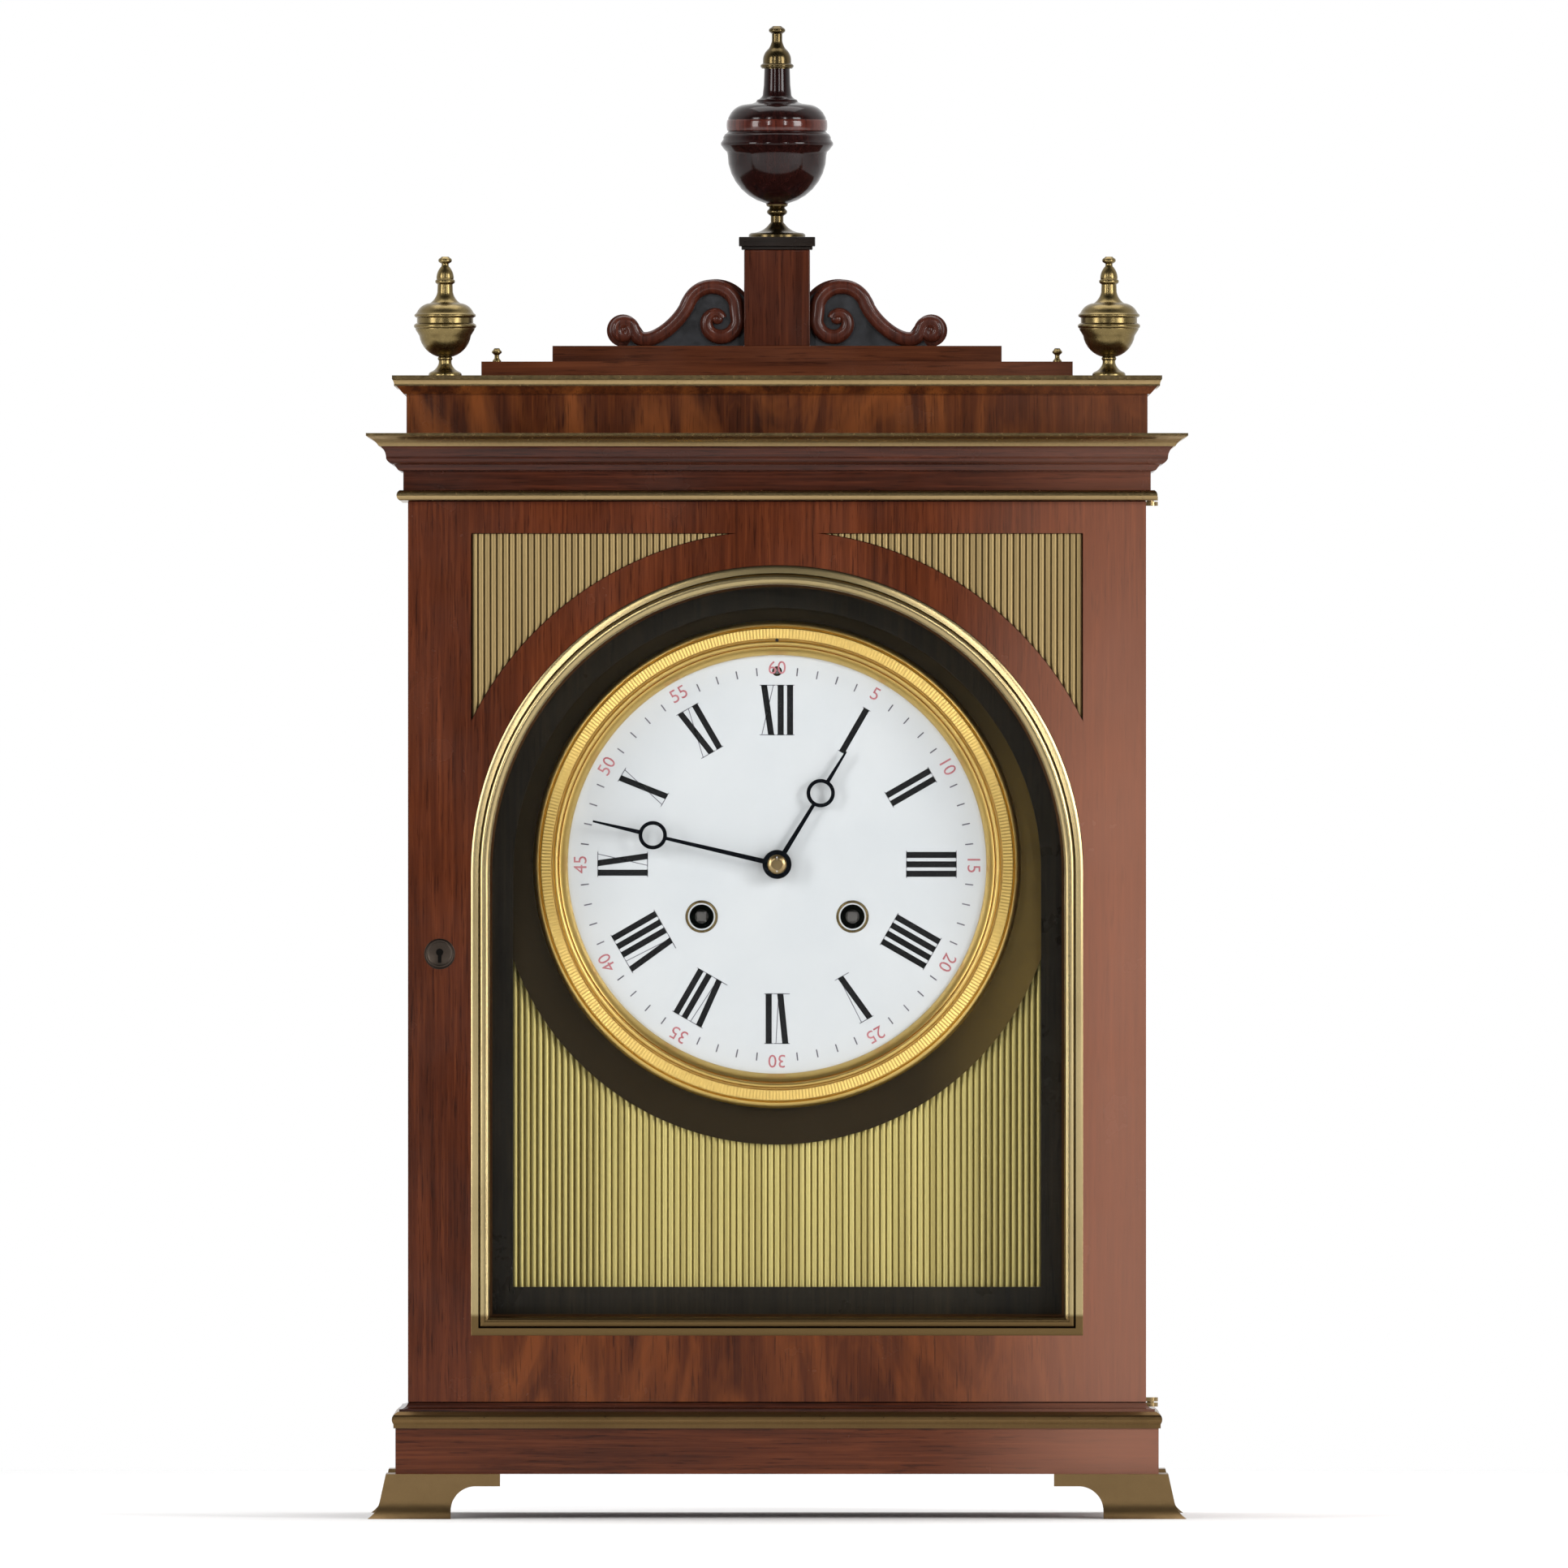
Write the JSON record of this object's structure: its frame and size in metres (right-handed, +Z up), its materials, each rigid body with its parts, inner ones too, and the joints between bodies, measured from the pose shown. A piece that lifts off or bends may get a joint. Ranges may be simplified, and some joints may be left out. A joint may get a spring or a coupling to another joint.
{
  "type": "bracket clock",
  "caption": "Mahogany bracket clock with arched glazed door, reeded brass panels, enamel dial, pendulum movement, bracket feet and urn finials.",
  "frame": {"origin": "on the ground, under the middle of the clock", "axes": "+Z up, -Y out of the dial, +X to the right of a person who reads the dial"},
  "size_m": [0.2828, 0.1744, 0.5148],
  "materials": {
    "mahogany": "french-polished mahogany, figured",
    "plum_wood": "dark polished turned wood",
    "ebonised_wood": "ebonised, satin",
    "pine": "plain inner wood",
    "case_brass": "lacquered brass, mellowed",
    "reed_brass": "pale reeded brass",
    "gilt_brass": "bright polished brass",
    "bronze": "dark patinated bronze",
    "movement_brass": "grained brass",
    "steel": "polished steel",
    "blued_steel": "blue-black steel",
    "enamel": "white vitreous enamel",
    "glass": "clear plate glass"
  },
  "bodies": {
    "case": {"bracket_feet": "case_brass", "plinth_board": "mahogany", "base_brass_moulding": "case_brass", "base_board": "mahogany", "side_panels": "mahogany", "frieze_block": "mahogany", "frieze_brass_bead": "case_brass", "cornice_moulding": "mahogany", "cornice_brass_fillet": "case_brass", "attic_block": "mahogany", "attic_brass_moulding": "case_brass", "step_boards": "mahogany", "pedestal": "mahogany", "scroll_brackets": "mahogany", "brass_finials": "case_brass", "urn": "plum_wood", "urn_brass_mounts": "case_brass", "door_hinge_case_plates": "case_brass", "lock_staple": "steel", "mask_board": "ebonised_wood", "dial_surround": "bronze", "reeded_panel": "reed_brass", "dial_bezel": "gilt_brass", "dial": "enamel", "winding_grommets": "gilt_brass", "movement_frame": "movement_brass", "seatboard": "pine", "bell": "movement_brass", "back_hinge_case_leaves": "case_brass"},
    "front_door": {"door_stile_left": "mahogany", "door_stile_right": "mahogany", "door_bottom_rail": "mahogany", "door_arch_head": "mahogany", "spandrel_reeds": "reed_brass", "door_brass_sash": "case_brass", "door_glass": "glass", "lock_escutcheon": "bronze", "lock_case": "case_brass", "door_hinge_door_plates": "case_brass"},
    "bolt": {"lock_bolt": "steel"},
    "minute_hand_arbor": {"minute_hand": "blued_steel", "hand_collet": "gilt_brass", "centre_arbor": "steel"},
    "hour_hand_pipe": {"hour_hand": "blued_steel", "hour_wheel": "movement_brass"},
    "motion_wheel": {"minute_wheel": "movement_brass"},
    "second_arbor": {"second_wheel": "movement_brass"},
    "third_arbor": {"third_wheel": "movement_brass"},
    "escape_arbor": {"escape_wheel": "movement_brass"},
    "time_barrel": {"going_barrel": "movement_brass"},
    "bell_barrel": {"strike_barrel": "movement_brass"},
    "time_winder": {"going_winding_arbor": "steel"},
    "bell_winder": {"strike_winding_arbor": "steel"},
    "rate_adjuster": {"regulator_arbor": "steel"},
    "anchor_arbor": {"anchor": "steel"},
    "pendulum_body": {"pendulum": "movement_brass"},
    "bell_hammer": {"hammer": "steel"},
    "back_door": {"back_door_frame": "mahogany", "back_door_glass": "glass", "back_hinge_door_leaves": "case_brass"}
  },
  "joints": [
    {"name": "front_door_hinge", "type": "hinge", "parent": "case", "child": "front_door", "pos_m": [0.1286, -0.0598, 0.195], "axis": [0, 0, 1], "range_deg": [0, 120]},
    {"name": "bolt_slide", "type": "slide", "parent": "front_door", "child": "bolt", "axis": [-1, 0, 0], "range_m": [0, 0.004]},
    {"name": "minute_hand_turn", "type": "hinge", "parent": "case", "child": "minute_hand_arbor", "pos_m": [0, 0, 0.2251], "axis": [0, 1, 0], "continuous": true},
    {"name": "hour_hand_turn", "type": "hinge", "parent": "case", "child": "hour_hand_pipe", "pos_m": [0, 0, 0.2251], "axis": [0, 1, 0], "continuous": true},
    {"name": "motion_wheel_turn", "type": "hinge", "parent": "case", "child": "motion_wheel", "pos_m": [-0.012, 0, 0.2251], "axis": [0, 1, 0], "continuous": true},
    {"name": "second_wheel_turn", "type": "hinge", "parent": "case", "child": "second_arbor", "pos_m": [0.0159, 0, 0.2306], "axis": [0, 1, 0], "continuous": true},
    {"name": "third_wheel_turn", "type": "hinge", "parent": "case", "child": "third_arbor", "pos_m": [-0.0034, 0, 0.2416], "axis": [0, 1, 0], "continuous": true},
    {"name": "escape_wheel_turn", "type": "hinge", "parent": "case", "child": "escape_arbor", "pos_m": [0, 0, 0.2536], "axis": [0, 1, 0], "continuous": true},
    {"name": "going_barrel_turn", "type": "hinge", "parent": "case", "child": "time_barrel", "pos_m": [0.026, 0, 0.2071], "axis": [0, 1, 0], "continuous": true},
    {"name": "strike_barrel_turn", "type": "hinge", "parent": "case", "child": "bell_barrel", "pos_m": [-0.026, 0, 0.2071], "axis": [0, 1, 0], "continuous": true},
    {"name": "going_winding", "type": "hinge", "parent": "case", "child": "time_winder", "pos_m": [0.026, 0, 0.2071], "axis": [0, 1, 0], "continuous": true},
    {"name": "strike_winding", "type": "hinge", "parent": "case", "child": "bell_winder", "pos_m": [-0.026, 0, 0.2071], "axis": [0, 1, 0], "continuous": true},
    {"name": "regulator_turn", "type": "hinge", "parent": "case", "child": "rate_adjuster", "pos_m": [0, 0, 0.2917], "axis": [0, 1, 0], "continuous": true},
    {"name": "pendulum_swing", "type": "hinge", "parent": "case", "child": "pendulum_body", "pos_m": [0, 0.0207, 0.2671], "axis": [0, 1, 0], "range_deg": [-2.5, 2.5]},
    {"name": "anchor_swing", "type": "hinge", "parent": "case", "child": "anchor_arbor", "pos_m": [0, 0, 0.2671], "axis": [0, 1, 0], "range_deg": [-2.5, 2.5]},
    {"name": "hammer_lift", "type": "hinge", "parent": "case", "child": "bell_hammer", "pos_m": [-0.034, 0.03, 0.2511], "axis": [0, 1, 0], "range_deg": [0, 12]},
    {"name": "back_door_hinge", "type": "hinge", "parent": "case", "child": "back_door", "pos_m": [0.1133, 0.0858, 0.195], "axis": [0, 0, -1], "range_deg": [0, 110]}
  ],
  "couplings": [
    {"joint": "hour_hand_turn", "follows": "minute_hand_turn", "ratio": 0.083333},
    {"joint": "motion_wheel_turn", "follows": "minute_hand_turn", "ratio": -0.33333},
    {"joint": "second_wheel_turn", "follows": "minute_hand_turn", "ratio": -0.25},
    {"joint": "third_wheel_turn", "follows": "minute_hand_turn", "ratio": -6},
    {"joint": "escape_wheel_turn", "follows": "minute_hand_turn", "ratio": 36},
    {"joint": "going_barrel_turn", "follows": "minute_hand_turn", "ratio": 0.05},
    {"joint": "anchor_swing", "follows": "pendulum_swing", "ratio": 1}
  ]
}
